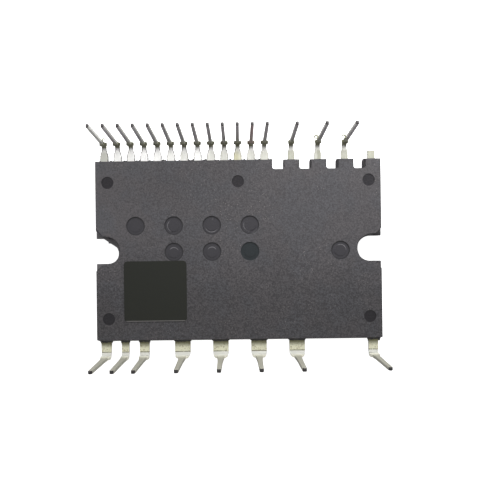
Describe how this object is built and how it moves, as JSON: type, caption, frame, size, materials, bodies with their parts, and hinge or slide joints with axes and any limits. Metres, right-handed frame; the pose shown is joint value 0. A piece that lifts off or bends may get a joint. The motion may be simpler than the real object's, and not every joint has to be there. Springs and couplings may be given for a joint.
{
  "type": "igbt power module",
  "caption": "Flat moulded three-phase power module with formed leads standing up along both long sides, end screw notches and a copper heat-sink face.",
  "frame": {"origin": "centre of the heat-sink face", "axes": "+X along the body, so that the creepage comb is at +X, +Y towards the fine control leads, +Z from the heat-sink face towards the lead tips"},
  "size_m": [0.038, 0.0296, 0.014],
  "materials": {
    "moulding_resin": "black-grey epoxy moulding compound, spark-eroded mould grain",
    "label": "plain black film, blank",
    "tinned_lead": "copper lead frame, dull tin plate with a warm cast",
    "copper_foil": "rolled copper foil, lightly oxidised",
    "insulation": "ceramic-filled epoxy insulating sheet",
    "silicon": "silicon die with metallised top",
    "bond_wire": "drawn aluminium wire"
  },
  "bodies": {
    "root": {"mold_body": "moulding_resin", "blank_label": "label", "heat_sink_foil": "copper_foil", "insulating_sheet": "insulation", "lead_c17_nc": "tinned_lead", "lead_c16_vnc": "tinned_lead", "lead_c15_cin": "tinned_lead", "lead_c14_fo": "tinned_lead", "lead_c13_vn1": "tinned_lead", "lead_c12_wn": "tinned_lead", "lead_c11_vn": "tinned_lead", "lead_c10_un": "tinned_lead", "lead_c09_vnc": "tinned_lead", "lead_c08_vp1": "tinned_lead", "lead_c07_wp": "tinned_lead", "lead_c06_vp": "tinned_lead", "lead_c05_up": "tinned_lead", "lead_c04_w_boot": "tinned_lead", "lead_c03_v_boot": "tinned_lead", "lead_c02_u_boot": "tinned_lead", "lead_c01_spare": "tinned_lead", "lead_p18_nw": "tinned_lead", "lead_p19_nv": "tinned_lead", "lead_p20_nu": "tinned_lead", "lead_p21_w": "tinned_lead", "lead_p22_v": "tinned_lead", "lead_p23_u": "tinned_lead", "lead_p24_p": "tinned_lead", "lead_p25_nc": "tinned_lead", "igbt_wn": "silicon", "igbt_vn": "silicon", "igbt_un": "silicon", "igbt_up": "silicon", "igbt_vp": "silicon", "igbt_wp": "silicon", "diode_wn": "silicon", "diode_vn": "silicon", "diode_un": "silicon", "diode_up": "silicon", "diode_vp": "silicon", "diode_wp": "silicon", "driver_low_side": "silicon", "driver_high_side": "silicon", "bond_wires": "bond_wire"}
  },
  "joints": []
}
